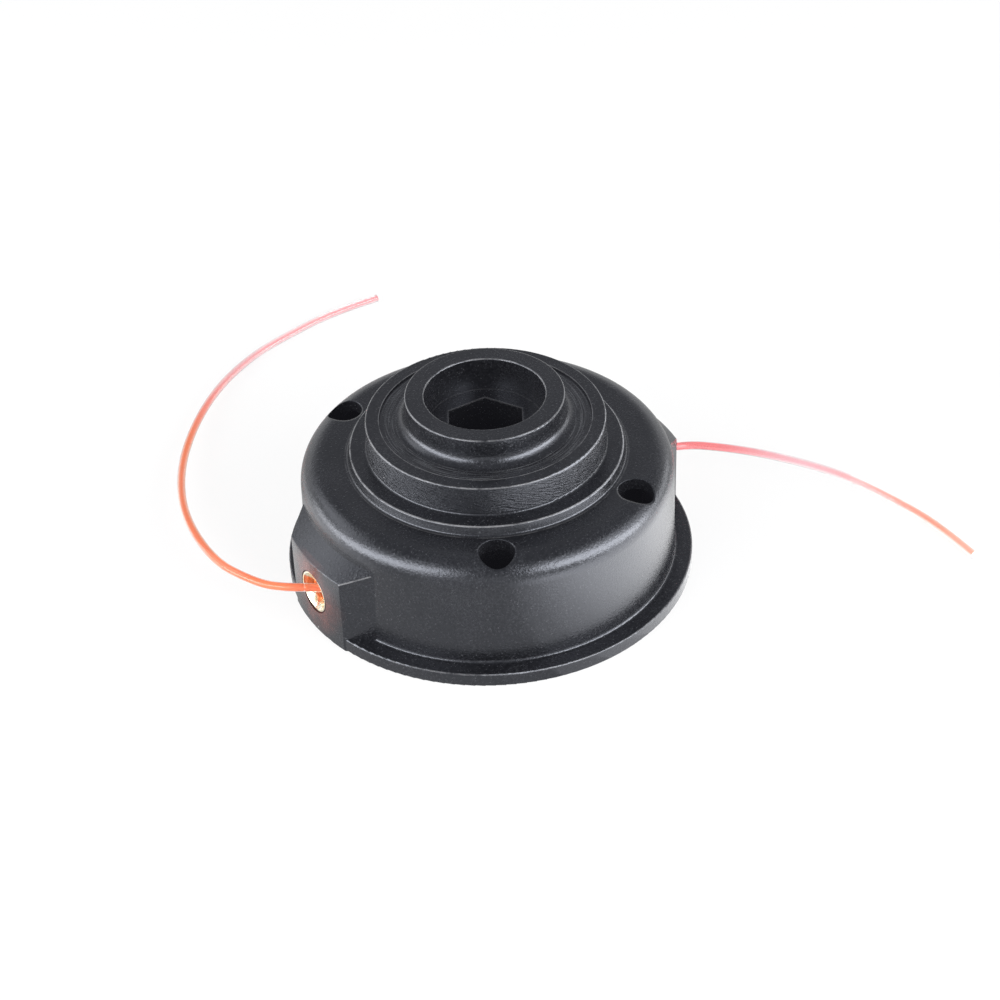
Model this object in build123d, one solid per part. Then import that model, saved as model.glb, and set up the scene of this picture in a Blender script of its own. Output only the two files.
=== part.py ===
from build123d import *
import os
from math import acos, atan2, cos, hypot, pi, radians, sin, sqrt, tan

# Two-line press-feed trimmer head, in millimetres.
# +Z is the drive side, the origin is the centre of the flange's underside,
# and the two line eyelets lie on the X axis.

# Trimmer line
LINE_D = 2.2
LINE_LIFT = 0.3

# Clearances
SEAT_GAP = 0.05
AXIAL_GAP = 0.3
SNAP_GAP = 0.3
RUNNING_FIT = 0.08
HEX_FIT = 0.1
OVERRUN = 1.0
SINK = 0.5

# Feed action: press travel, and the spool's turn that goes with it
TRAVEL = 4.0
DOG_COUNT = 6
DOG_WIDTH_DEG = 18.0
DOG_LEAD_DEG = 37.0
DOG_H = 2.3
DOG_LENGTH = 6.5

# Housing flange and drum
FLANGE_R = 53.0
FLANGE_T = 3.8
FLANGE_LEDGE = 4.6
FLANGE_EDGE = 0.4
FOOT_ROUND = 0.7
WALL_T = 3.0
WALL_DRAFT = 0.4
SHOULDER_ROUND = 6.5
ROOF_T = 3.0
DOG_RING_DROP = 4.0
DOG_RING_MARGIN = 1.0

# Stepped hub on top of the drum
BORE_R = 15.3
BORE_DEPTH = 8.9
HUB_WALL = 5.0
HUB_H = 6.8
HUB_FILLET = 3.0
RING_STEP = 10.3
RING_H = 8.3
RING_RIM = 3.6
RING_DISH = 0.5
COLLAR_STEP = 4.4
COLLAR_H = 2.5
COLLAR_FLARE = 0.7
STEP_EDGE = 0.5
STEP_FOOT = 0.6

# Hexagonal drive socket, its lip, post and stiffening ribs
HEX_AF = 18.7
HEX_TURN_DEG = -2.0
HEX_LIP_W = 0.8
HUB_FLOOR_DISH = 0.4
HUB_FLOOR_EDGE = 0.8
POST_WALL = 2.7
HUB_FLOOR_T = 3.4
CORE_ROUND = 1.0
RIB_COUNT = 6
RIB_T = 2.0
RIB_H = 8.0
RIB_CLEAR = 0.8

# Round openings in the shoulder, over the cover's snap ledges
VENT_R = 4.5
VENT_INSET = 6.7
VENT_DEPTH = 10.0
VENT_ANGLES = (60.0, 120.0, 240.0, 300.0)

# Eyelet bosses
BOSS_PROUD = 0.3
BOSS_HALF_WIDTH = 11.8
BOSS_FLARE_DEG = 38.0
BOSS_TOP_Z = 21.6
BOSS_TOP_SLOPE_DEG = 36.0
BOSS_DEPTH = 9.0

# Eyelets
EYELET_Z = 12.0
EYELET_R = 5.5
EYELET_MOUTH_R = 5.1
EYELET_THROAT_R = 3.4
EYELET_L = 7.5
EYELET_RECESS = 0.3
EYELET_RING_W = 0.3
EYELET_RING_D = 0.8

# Cover, with its snap hooks
COVER_RECESS = 0.4
COVER_T = 2.2
COVER_LAND = 3.9
COVER_EDGE = 0.5
COVER_COLLAR_W = 1.8
COVER_COLLAR_H = 1.6
COVER_OPENING_GAP = 0.6
HOOK_T = 1.9
HOOK_WIDTH_DEG = 9.0
HOOK_GAP = 0.4
BARB_OUT = 1.3
BARB_H = 2.4
LEDGE_D = 2.0
LEDGE_H = 1.8
LEDGE_LIFT = 3.8
LEDGE_WIDTH_DEG = 11.0

# Spool
SPOOL_SIDE_GAP = 1.1
SPOOL_FLANGE_T = 1.5
SPOOL_FLANGE_EDGE = 0.5
DOG_INSET = 4.5
CHAMBER_H = 5.3
DIVIDER_T = 1.2
DIVIDER_RISE = 3.0
SPOOL_HUB_WALL = 2.8
SPOOL_GUIDE_L = 4.5
NOTCH_W = 3.0
NOTCH_D = 5.0
NOTCH_ANGLES = (90.0, 270.0)
WINDING_R = 29.6
TURNS_ACROSS = 2
TURN_VALLEY = 0.8

# Press knob, snapped into the spool and free to turn in it
KNOB_RECESS = 0.6
KNOB_CROWN_T = 2.4
KNOB_DISH = 0.7
KNOB_FLAT_R = 12.0
KNOB_EDGE = 0.6
KNOB_SOCKET_D = 5.3
KNOB_RIM = 0.4
KNOB_SKIRT_GAP = 0.5
KNOB_SKIRT_T = 1.8
BEAD_OUT = 0.5
BEAD_H = 1.2
BEAD_LAND = 0.4
BEAD_DROP = 0.7
SLIT_COUNT = 6
SLIT_W = 1.6
SLIT_FLOOR = 1.5

# Drive nut, thrust washer and spring
NUT_HEX_L = 10.0
NUT_FLANGE_T = 1.8
NUT_FLANGE_INSET = 0.5
NUT_HOLE_R = 4.32
NUT_GAP = 0.4
NUT_CHAMFER = 0.6
SPRING_WIRE_D = 1.6
SPRING_POST_GAP = 1.9
SPRING_POCKET_GAP = 1.2
SPRING_TURNS = 5.5
WASHER_T = 0.8
WASHER_GAP = 0.4

# Free ends of the line: points of each route from the eyelet's mouth to the cut end, with X from the boss's face
TAIL_LEFT = [
    (-0.50, 3.53, 11.38), (-6.17, 7.64, 11.30), (-10.00, 14.30, 11.00), (-13.60, 27.95, 9.90),
    (-10.20, 51.40, 8.00), (-0.70, 72.50, 5.80), (12.80, 91.00, 3.80), (28.80, 106.50, 2.20),
    (45.80, 116.50, 1.10), (60.80, 120.00, 1.10), (77.30, 122.50, 1.10), (91.80, 121.50, 1.10),
]
TAIL_RIGHT = [
    (1.32, -1.95, 11.38), (7.47, -4.07, 11.20), (14.00, -8.30, 10.40), (23.70, -16.20, 8.80),
    (33.20, -26.00, 6.60), (40.70, -35.30, 4.20), (45.80, -47.80, 2.20), (48.80, -61.80, 1.10),
    (47.90, -75.80, 1.10),
]
TAIL_ARC_SHARE = 0.45
EYELET_TO_MOUTH = 6.0
UPPER_LEAD_LIFT = 0.8

# Radii that follow from the sizes above
LINE_R = LINE_D / 2
WALL_R = FLANGE_R - FLANGE_LEDGE
INNER_R = WALL_R - WALL_T
HUB_R = BORE_R + HUB_WALL
RING_R = HUB_R + RING_STEP
COLLAR_R = RING_R + COLLAR_STEP
HEX_CORNER_R = HEX_AF / sqrt(3)
POST_R = HEX_CORNER_R + POST_WALL
CORE_R = RING_R - WALL_T
BOSS_R = FLANGE_R + BOSS_PROUD
REBATE_R = INNER_R + COVER_LAND
COVER_R = REBATE_R - SNAP_GAP
LEDGE_R = INNER_R - LEDGE_D
HOOK_R = LEDGE_R - HOOK_GAP
SPOOL_FLANGE_R = HOOK_R - HOOK_T - SPOOL_SIDE_GAP
DOG_OUT_R = SPOOL_FLANGE_R - DOG_INSET
DOG_IN_R = DOG_OUT_R - DOG_LENGTH
SPRING_R = POST_R + SPRING_POST_GAP + SPRING_WIRE_D / 2
POCKET_R = SPRING_R + SPRING_WIRE_D / 2 + SPRING_POCKET_GAP
SPOOL_HUB_R = POCKET_R + SPOOL_HUB_WALL
SPOOL_BORE_R = POST_R + RUNNING_FIT
DIVIDER_R = WINDING_R + DIVIDER_RISE
LEAD_R = WINDING_R + LINE_LIFT + LINE_R
KNOB_R = POCKET_R + KNOB_RIM
COVER_OPENING_R = KNOB_R + COVER_OPENING_GAP
KNOB_SKIRT_R = POCKET_R - KNOB_SKIRT_GAP
BEAD_R = POCKET_R + BEAD_OUT
GROOVE_R = BEAD_R + SNAP_GAP
EYELET_HOLE_R = EYELET_R + SEAT_GAP
SHOULDER_W = WALL_R - WALL_DRAFT - COLLAR_R - COLLAR_FLARE
SHOULDER_R = min(SHOULDER_ROUND, SHOULDER_W - 2 * STEP_FOOT)

# Heights that follow from the sizes above, from the floor up
COVER_TOP_Z = COVER_RECESS + COVER_T
LEDGE_Z = COVER_TOP_Z + LEDGE_LIFT
SPOOL_Z = COVER_TOP_Z + DOG_H + AXIAL_GAP
LOWER_CHAMBER_Z = SPOOL_Z + SPOOL_FLANGE_T
DIVIDER_Z = LOWER_CHAMBER_Z + CHAMBER_H
UPPER_CHAMBER_Z = DIVIDER_Z + DIVIDER_T
UPPER_FLANGE_Z = UPPER_CHAMBER_Z + CHAMBER_H
SPOOL_TOP_Z = UPPER_FLANGE_Z + SPOOL_FLANGE_T
DOG_RING_Z = SPOOL_TOP_Z + DOG_H + TRAVEL + AXIAL_GAP
ROOF_Z = DOG_RING_Z + DOG_RING_DROP
SHOULDER_Z = ROOF_Z + ROOF_T
COLLAR_Z = SHOULDER_Z + COLLAR_H
RING_Z = COLLAR_Z + RING_H
HUB_Z = RING_Z + HUB_H
BORE_FLOOR_Z = HUB_Z - BORE_DEPTH
CORE_Z = BORE_FLOOR_Z - HUB_FLOOR_T
CROWN_TOP_Z = KNOB_RECESS + KNOB_CROWN_T
NUT_Z = CROWN_TOP_Z + TRAVEL + NUT_GAP
POST_END_Z = NUT_Z + NUT_FLANGE_T
SOCKET_TOP_Z = SPOOL_Z + KNOB_SOCKET_D
SKIRT_TOP_Z = SOCKET_TOP_Z - AXIAL_GAP
BEAD_TOP_Z = SKIRT_TOP_Z - BEAD_DROP
BEAD_Z = BEAD_TOP_Z - BEAD_H
POCKET_FLOOR_Z = SOCKET_TOP_Z + SPOOL_GUIDE_L
WASHER_TOP_Z = POCKET_FLOOR_Z + SEAT_GAP + WASHER_T


def section(corners):
    """Closed half section from (radius, height, corner round) triples."""
    points = [(radius, height) for radius, height, _ in corners]
    rounds = [corner for _, _, corner in corners]
    return Plane.XZ * make_face(FilletPolyline(*points, radius=rounds, close=True))


def turned(corners):
    """Solid turned about +Z from its half section."""
    return revolve(section(corners), Axis.Z)


def sector(corners, centre_deg, width_deg):
    """Part of a turn, centred on one angle about +Z."""
    wedge = revolve(section(corners), Axis.Z, width_deg)
    return Rot(0, 0, centre_deg - width_deg / 2) * wedge


def block(r_in, r_out, z_low, z_high):
    """Corners of a plain rectangular half section."""
    return [(r_in, z_low, 0), (r_out, z_low, 0), (r_out, z_high, 0), (r_in, z_high, 0)]


def dogs(z_low, z_high, first_deg):
    """Ring of drive dogs."""
    pitch = 360 / DOG_COUNT
    corners = block(DOG_IN_R, DOG_OUT_R, z_low, z_high)
    return [sector(corners, first_deg + k * pitch, DOG_WIDTH_DEG) for k in range(DOG_COUNT)]


def drum():
    """Outside of the housing: flange, drum, rounded shoulder and stepped hub."""
    dish_z = RING_Z - RING_DISH
    return turned([
        (0, 0, 0),
        (FLANGE_R, 0, FLANGE_EDGE),
        (FLANGE_R, FLANGE_T, FLANGE_EDGE),
        (WALL_R, FLANGE_T, FOOT_ROUND),
        (WALL_R - WALL_DRAFT, SHOULDER_Z, SHOULDER_R),
        (COLLAR_R + COLLAR_FLARE, SHOULDER_Z, STEP_FOOT),
        (COLLAR_R, COLLAR_Z, STEP_EDGE),
        (RING_R, COLLAR_Z, STEP_FOOT),
        (RING_R, RING_Z, STEP_EDGE),
        (RING_R - RING_RIM, RING_Z, 0),
        (RING_R - RING_RIM, dish_z, 0),
        (HUB_R, dish_z, HUB_FILLET),
        (HUB_R, HUB_Z, STEP_EDGE),
        (BORE_R, HUB_Z, STEP_EDGE),
        (BORE_R, BORE_FLOOR_Z, 0),
        (0, BORE_FLOOR_Z, 0),
    ])


def cavity():
    """Inside of the housing round the drive post, open at the bottom for the cover."""
    return turned([
        (0, -OVERRUN, 0),
        (REBATE_R, -OVERRUN, 0),
        (REBATE_R, COVER_TOP_Z, 0),
        (INNER_R, COVER_TOP_Z, 0),
        (INNER_R - WALL_DRAFT, ROOF_Z, SHOULDER_R - WALL_T),
        (DOG_OUT_R + DOG_RING_MARGIN, ROOF_Z, 0),
        (DOG_OUT_R + DOG_RING_MARGIN, DOG_RING_Z, 0),
        (CORE_R, DOG_RING_Z, 0),
        (CORE_R, CORE_Z, CORE_ROUND),
        (POST_R, CORE_Z, 0),
        (POST_R, POST_END_Z, 0),
        (0, POST_END_Z, 0),
    ])


def boss():
    """Block that carries one eyelet: just proud of the flange, flared to the drum, with a sloping top."""
    inner_r = BOSS_R - BOSS_DEPTH
    top_rise = BOSS_DEPTH * tan(radians(BOSS_TOP_SLOPE_DEG))
    wedge = sector([
        (inner_r, 0, 0),
        (BOSS_R, 0, FLANGE_EDGE),
        (BOSS_R, BOSS_TOP_Z, FLANGE_EDGE),
        (inner_r, BOSS_TOP_Z + top_rise, 0),
    ], 180, 90)
    corner_x = sqrt(BOSS_R ** 2 - BOSS_HALF_WIDTH ** 2)
    flare = tan(radians(BOSS_FLARE_DEG))
    near_half = BOSS_HALF_WIDTH - (BOSS_R + OVERRUN - corner_x) * flare
    far_half = BOSS_HALF_WIDTH + (corner_x - inner_r + OVERRUN) * flare
    plan = make_face(Polyline(
        (-BOSS_R - OVERRUN, near_half),
        (-BOSS_R - OVERRUN, -near_half),
        (-inner_r + OVERRUN, -far_half),
        (-inner_r + OVERRUN, far_half),
        close=True,
    ))
    return wedge & extrude(plan, BOSS_TOP_Z + top_rise)


def eyelet_hole():
    """Hole through one boss, along the X axis, with a narrow open ring round the eyelet's mouth."""
    length = BOSS_DEPTH + OVERRUN
    ring_length = EYELET_RING_D + OVERRUN
    hole = Pos(0, 0, length / 2) * Cylinder(EYELET_HOLE_R, length)
    hole += Pos(0, 0, ring_length / 2) * Cylinder(EYELET_HOLE_R + EYELET_RING_W, ring_length)
    return Pos(-BOSS_R - OVERRUN, 0, EYELET_Z) * Rot(0, 90, 0) * hole


def housing():
    """Moulded housing: drum, hub, drive post, dog ring, snap ledges and eyelet bosses."""
    sides = (0, 180)
    body = drum()
    body += [Rot(0, 0, side) * boss() for side in sides]
    body -= cavity()
    body += dogs(DOG_RING_Z - DOG_H, DOG_RING_Z + SINK, 0)
    ledge = block(LEDGE_R, INNER_R + SINK, LEDGE_Z, LEDGE_Z + LEDGE_H)
    body += [sector(ledge, angle, LEDGE_WIDTH_DEG) for angle in VENT_ANGLES]
    rib_in = SPRING_R + SPRING_WIRE_D / 2 + RIB_CLEAR
    rib = Pos((rib_in + CORE_R + SINK) / 2, 0, CORE_Z - RIB_H / 2) * Box(CORE_R + SINK - rib_in, RIB_T, RIB_H + SINK)
    body += [Rot(0, 0, k * 360 / RIB_COUNT) * rib for k in range(RIB_COUNT)]
    hexagon = RegularPolygon(HEX_AF / 2, 6, major_radius=False)
    lip = RegularPolygon(HEX_AF / 2 + HEX_LIP_W, 6, major_radius=False)
    dish = Circle(BORE_R - HUB_FLOOR_EDGE) - Rot(0, 0, HEX_TURN_DEG) * lip
    body -= Pos(0, 0, BORE_FLOOR_Z - HUB_FLOOR_DISH) * extrude(dish, HUB_FLOOR_DISH)
    body -= Pos(0, 0, POST_END_Z) * Rot(0, 0, HEX_TURN_DEG) * extrude(hexagon, BORE_FLOOR_Z - POST_END_Z)
    vent = Pos(WALL_R - VENT_INSET, 0, SHOULDER_Z - VENT_DEPTH / 2 + OVERRUN) * Cylinder(VENT_R, VENT_DEPTH)
    body -= [Rot(0, 0, angle) * vent for angle in VENT_ANGLES]
    body -= [Rot(0, 0, side) * eyelet_hole() for side in sides]
    return body


def eyelet(side_deg):
    """Turned eyelet with a waisted bore, its mouth just inside the boss's face."""
    outline = Polyline((EYELET_MOUTH_R, 0), (EYELET_R, 0), (EYELET_R, EYELET_L), (EYELET_MOUTH_R, EYELET_L))
    waist = ThreePointArc((EYELET_MOUTH_R, EYELET_L), (EYELET_THROAT_R, EYELET_L / 2), (EYELET_MOUTH_R, 0))
    bush = revolve(Plane.XZ * make_face(outline + waist), Axis.Z)
    return Rot(0, 0, side_deg) * Pos(-BOSS_R + EYELET_RECESS, 0, EYELET_Z) * Rot(0, 90, 0) * bush


def cover():
    """Cover plate that closes the housing, with drive dogs, a collar and four snap hooks."""
    plate = turned([
        (COVER_OPENING_R, COVER_RECESS, COVER_EDGE),
        (COVER_R, COVER_RECESS, COVER_EDGE),
        (COVER_R, COVER_TOP_Z - SEAT_GAP, 0),
        (COVER_OPENING_R + COVER_COLLAR_W, COVER_TOP_Z - SEAT_GAP, 0),
        (COVER_OPENING_R + COVER_COLLAR_W, COVER_TOP_Z + COVER_COLLAR_H, 0),
        (COVER_OPENING_R, COVER_TOP_Z + COVER_COLLAR_H, 0),
    ])
    plate += dogs(COVER_TOP_Z - SINK, COVER_TOP_Z + DOG_H, 0)
    barb_z = LEDGE_Z + LEDGE_H + SNAP_GAP
    hook = [
        (HOOK_R - HOOK_T, COVER_TOP_Z - SINK, 0),
        (HOOK_R, COVER_TOP_Z - SINK, 0),
        (HOOK_R, barb_z, 0),
        (HOOK_R + BARB_OUT, barb_z, 0),
        (HOOK_R, barb_z + BARB_H, 0),
        (HOOK_R - HOOK_T, barb_z + BARB_H, 0),
    ]
    plate += [sector(hook, angle, HOOK_WIDTH_DEG) for angle in VENT_ANGLES]
    return plate


def spool():
    """Two-chamber spool with a spring pocket above, a knob socket below and dogs on both faces."""
    body = turned([
        (SPOOL_BORE_R, SOCKET_TOP_Z, 0),
        (POCKET_R, SOCKET_TOP_Z, 0),
        (POCKET_R, BEAD_TOP_Z + SNAP_GAP, 0),
        (GROOVE_R, BEAD_TOP_Z + SNAP_GAP, 0),
        (GROOVE_R, BEAD_Z - SNAP_GAP, 0),
        (POCKET_R, BEAD_Z - SNAP_GAP, 0),
        (POCKET_R, SPOOL_Z, 0),
        (SPOOL_FLANGE_R, SPOOL_Z, SPOOL_FLANGE_EDGE),
        (SPOOL_FLANGE_R, LOWER_CHAMBER_Z, SPOOL_FLANGE_EDGE),
        (SPOOL_HUB_R, LOWER_CHAMBER_Z, 0),
        (SPOOL_HUB_R, DIVIDER_Z, 0),
        (DIVIDER_R, DIVIDER_Z, 0),
        (DIVIDER_R, UPPER_CHAMBER_Z, 0),
        (SPOOL_HUB_R, UPPER_CHAMBER_Z, 0),
        (SPOOL_HUB_R, UPPER_FLANGE_Z, 0),
        (SPOOL_FLANGE_R, UPPER_FLANGE_Z, SPOOL_FLANGE_EDGE),
        (SPOOL_FLANGE_R, SPOOL_TOP_Z, SPOOL_FLANGE_EDGE),
        (POCKET_R, SPOOL_TOP_Z, 0),
        (POCKET_R, POCKET_FLOOR_Z, 0),
        (SPOOL_BORE_R, POCKET_FLOOR_Z, 0),
    ])
    body += dogs(SPOOL_Z - DOG_H, SPOOL_Z + SINK, DOG_LEAD_DEG)
    body += dogs(SPOOL_TOP_Z - SINK, SPOOL_TOP_Z + DOG_H, DOG_LEAD_DEG)
    height = SPOOL_TOP_Z - SPOOL_Z
    notch = Pos(SPOOL_FLANGE_R, 0, (SPOOL_Z + SPOOL_TOP_Z) / 2) * Box(2 * NOTCH_D, NOTCH_W, height + SINK)
    body -= [Rot(0, 0, angle) * notch for angle in NOTCH_ANGLES]
    return body


def winding(floor_z):
    """Wound line in one chamber: a bundle with one ridge for each turn on its outside."""
    low = floor_z + SEAT_GAP
    high = floor_z + CHAMBER_H - SEAT_GAP
    pitch = (high - low) / TURNS_ACROSS
    valley = WINDING_R - TURN_VALLEY
    inner = SPOOL_HUB_R + SEAT_GAP
    outline = Polyline((valley, high), (inner, high), (inner, low), (valley, low))
    for k in range(TURNS_ACROSS):
        z = low + k * pitch
        outline += ThreePointArc((valley, z), (WINDING_R, z + pitch / 2), (valley, z + pitch))
    return revolve(Plane.XZ * make_face(outline), Axis.Z)


def knob():
    """Press knob: dished crown, and a slit skirt with a bead that snaps into the spool."""
    body = turned([
        (0, KNOB_RECESS, 0),
        (KNOB_FLAT_R, KNOB_RECESS, 0),
        (KNOB_R, KNOB_RECESS + KNOB_DISH, KNOB_EDGE),
        (KNOB_R, CROWN_TOP_Z, 0),
        (KNOB_SKIRT_R, CROWN_TOP_Z, 0),
        (KNOB_SKIRT_R, BEAD_Z, 0),
        (BEAD_R, BEAD_Z, 0),
        (BEAD_R, BEAD_Z + BEAD_LAND, 0),
        (KNOB_SKIRT_R, BEAD_TOP_Z, 0),
        (KNOB_SKIRT_R, SKIRT_TOP_Z, 0),
        (KNOB_SKIRT_R - KNOB_SKIRT_T, SKIRT_TOP_Z, 0),
        (KNOB_SKIRT_R - KNOB_SKIRT_T, CROWN_TOP_Z, 0),
        (0, CROWN_TOP_Z, 0),
    ])
    slit_z = CROWN_TOP_Z + SLIT_FLOOR
    slit_h = SKIRT_TOP_Z - slit_z + OVERRUN
    slit = Pos(KNOB_SKIRT_R, 0, slit_z + slit_h / 2) * Box(2 * KNOB_SKIRT_T + OVERRUN, SLIT_W, slit_h)
    body -= [Rot(0, 0, k * 360 / SLIT_COUNT) * slit for k in range(SLIT_COUNT)]
    return body


def drive_nut():
    """Long hexagonal nut with a flange that bears on the end of the drive post."""
    across = HEX_AF - 2 * HEX_FIT
    flange_top_z = POST_END_Z - SEAT_GAP
    hexagon = RegularPolygon(across / 2, 6, major_radius=False)
    body = Pos(0, 0, flange_top_z) * Rot(0, 0, HEX_TURN_DEG) * extrude(hexagon, NUT_HEX_L)
    flange_h = flange_top_z - NUT_Z
    body += Pos(0, 0, NUT_Z + flange_h / 2) * Cylinder(POST_R - NUT_FLANGE_INSET, flange_h)
    length = NUT_HEX_L + flange_h
    body -= Pos(0, 0, NUT_Z + length / 2) * Cylinder(NUT_HOLE_R, length)
    top = turned([
        (0, NUT_Z - OVERRUN, 0),
        (POST_R, NUT_Z - OVERRUN, 0),
        (POST_R, flange_top_z, 0),
        (HEX_CORNER_R, flange_top_z + NUT_HEX_L - NUT_CHAMFER, 0),
        (HEX_CORNER_R - 2 * NUT_CHAMFER, flange_top_z + NUT_HEX_L + SEAT_GAP, 0),
        (0, flange_top_z + NUT_HEX_L + SEAT_GAP, 0),
    ])
    return body & top


def thrust_washer():
    """Plain washer between the spring and the turning spool."""
    low = POCKET_FLOOR_Z + SEAT_GAP
    return turned(block(POST_R + WASHER_GAP, POCKET_R - WASHER_GAP, low, WASHER_TOP_Z))


def spring():
    """Compression spring from the washer up to the housing's core."""
    low = WASHER_TOP_Z + SEAT_GAP + SPRING_WIRE_D / 2
    high = CORE_Z - SEAT_GAP - SPRING_WIRE_D / 2
    coil = Pos(0, 0, low) * Helix((high - low) / SPRING_TURNS, high - low, SPRING_R)
    wire = Plane(coil @ 0, z_dir=coil % 0) * Circle(SPRING_WIRE_D / 2)
    return sweep(wire, path=coil)


def run_lengths(points):
    """Lengths of the straight runs of a route."""
    return [(Vector(*b) - Vector(*a)).length for a, b in zip(points, points[1:])]


def corner_radii(points):
    """Arc radius at each inner point of a route, as large as its two runs allow."""
    runs = run_lengths(points)
    radii = []
    for k in range(1, len(points) - 1):
        before = Vector(*points[k]) - Vector(*points[k - 1])
        after = Vector(*points[k + 1]) - Vector(*points[k])
        half_turn = radians(before.get_angle(after)) / 2
        radii.append(TAIL_ARC_SHARE * min(runs[k - 1], runs[k]) / tan(half_turn))
    return radii


def line_tube(name, points):
    """Length of line along a route of straight runs and tangent arcs."""
    radii = corner_radii(points)
    path = FilletPolyline(*points, radius=radii)
    tube = sweep(Plane(path @ 0, z_dir=path % 0) * Circle(LINE_R), path=path)
    expected = pi * LINE_R ** 2 * path.length
    print(name, "radii", [round(r, 1) for r in radii], "length", round(path.length, 1),
          "volume over section times length", round(tube.volume / expected, 4))
    return tube


def tail_points(points, side):
    """Route of a free end in the part's frame; side is -1 for the left boss and 1 for the right one."""
    return [(x + side * BOSS_R, y, z) for x, y, z in points]


def lead_points(tail, lead_z):
    """Route of a line from where it leaves the winding, through its eyelet, to the eyelet's mouth."""
    mouth = Vector(*tail[0])
    back = (mouth - Vector(*tail[1])).normalized()
    bend = mouth + back * EYELET_TO_MOUTH
    reach = hypot(bend.X, bend.Y)
    angle = atan2(bend.Y, bend.X) + acos(LEAD_R / reach)
    return [(LEAD_R * cos(angle), LEAD_R * sin(angle), lead_z), tuple(bend), tail[0]]


lower_lead_z = LOWER_CHAMBER_Z + CHAMBER_H / 2
upper_lead_z = UPPER_CHAMBER_Z + CHAMBER_H / 2 + UPPER_LEAD_LIFT
tail_left = tail_points(TAIL_LEFT, -1)
tail_right = tail_points(TAIL_RIGHT, 1)

nodes = {
    "housing": housing(),
    "eyelet_left": eyelet(0),
    "eyelet_right": eyelet(180),
    "drive_nut": drive_nut(),
    "cover": cover(),
    "spool": spool(),
    "line_winding_lower": winding(LOWER_CHAMBER_Z),
    "line_winding_upper": winding(UPPER_CHAMBER_Z),
    "knob": knob(),
    "thrust_washer": thrust_washer(),
    "spring": spring(),
    "line_lead_left": line_tube("line_lead_left", lead_points(tail_left, lower_lead_z)),
    "line_lead_right": line_tube("line_lead_right", lead_points(tail_right, upper_lead_z)),
    "line_tail_left": line_tube("line_tail_left", tail_left),
    "line_tail_right": line_tube("line_tail_right", tail_right),
}

os.makedirs("parts", exist_ok=True)
for name, shape in nodes.items():
    export_step(shape, f"parts/{name}.step")
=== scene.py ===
from math import acos, atan2, cos, hypot, pi, radians, sin

import bpy
from mathutils import Matrix, Vector


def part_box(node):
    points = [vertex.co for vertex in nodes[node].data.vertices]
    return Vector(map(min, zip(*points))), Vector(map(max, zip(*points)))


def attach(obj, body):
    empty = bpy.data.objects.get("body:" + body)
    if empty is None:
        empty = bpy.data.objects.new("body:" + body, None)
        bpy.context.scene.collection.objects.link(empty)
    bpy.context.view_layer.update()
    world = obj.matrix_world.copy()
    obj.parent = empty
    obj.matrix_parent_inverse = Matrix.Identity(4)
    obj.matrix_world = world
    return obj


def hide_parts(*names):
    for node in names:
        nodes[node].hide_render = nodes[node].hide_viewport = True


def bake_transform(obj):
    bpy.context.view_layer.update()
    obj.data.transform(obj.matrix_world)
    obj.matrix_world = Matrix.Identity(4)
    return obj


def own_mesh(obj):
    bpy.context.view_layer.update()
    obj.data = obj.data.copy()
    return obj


# Trimmer head: looks, line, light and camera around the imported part, in metres.
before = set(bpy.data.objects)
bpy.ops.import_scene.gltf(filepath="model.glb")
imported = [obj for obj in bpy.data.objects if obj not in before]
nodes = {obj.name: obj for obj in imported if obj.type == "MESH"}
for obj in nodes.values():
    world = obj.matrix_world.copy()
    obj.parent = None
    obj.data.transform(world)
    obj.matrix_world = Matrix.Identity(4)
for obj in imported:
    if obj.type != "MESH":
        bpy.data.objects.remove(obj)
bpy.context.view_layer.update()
MM = 0.001

# Camera: place and angles in a frame that is turned about +Z from the part's own frame
CAMERA_TURN = radians(-31.92)
CAMERA_PLACE = (0.0, -0.49322, 0.39933)
CAMERA_YAW = 0.0058887
CAMERA_PITCH = 0.659355
CAMERA_ROLL = 0.036811
CAMERA_LENS = 86.4
CAMERA_SENSOR = 36.0

# Line: diameter, fineness, and the points of its free ends in millimetres, with X from the boss's face
LINE_D = 2.2 * MM
LINE_SIDES = 20
LINE_BEVEL = 6
ROUTE_ORDER = 3
ROUTE_STEPS = 12
TAIL_LEFT_MM = [
    (-0.50, 3.53, 11.38), (-6.17, 7.64, 11.30), (-10.00, 14.30, 11.00), (-13.60, 27.95, 9.90),
    (-10.20, 51.40, 8.00), (-0.70, 72.50, 5.80), (12.80, 91.00, 3.80), (28.80, 106.50, 2.20),
    (45.80, 116.50, 1.10), (60.80, 120.00, 1.10), (77.30, 122.50, 1.10), (91.80, 121.50, 1.10),
]
TAIL_RIGHT_MM = [
    (1.32, -1.95, 11.38), (7.47, -4.07, 11.20), (14.00, -8.30, 10.40), (23.70, -16.20, 8.80),
    (33.20, -26.00, 6.60), (40.70, -35.30, 4.20), (45.80, -47.80, 2.20), (48.80, -61.80, 1.10),
    (47.90, -75.80, 1.10),
]


def tail_points(points, face_x):
    """Route of a free end in metres, from the X of its boss's face."""
    return [Vector(point) * MM + Vector((face_x, 0, 0)) for point in points]


housing_low, housing_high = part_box("housing")
TAIL_LEFT = tail_points(TAIL_LEFT_MM, housing_low.x)
TAIL_RIGHT = tail_points(TAIL_RIGHT_MM, housing_high.x)

# Shader nodes


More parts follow.
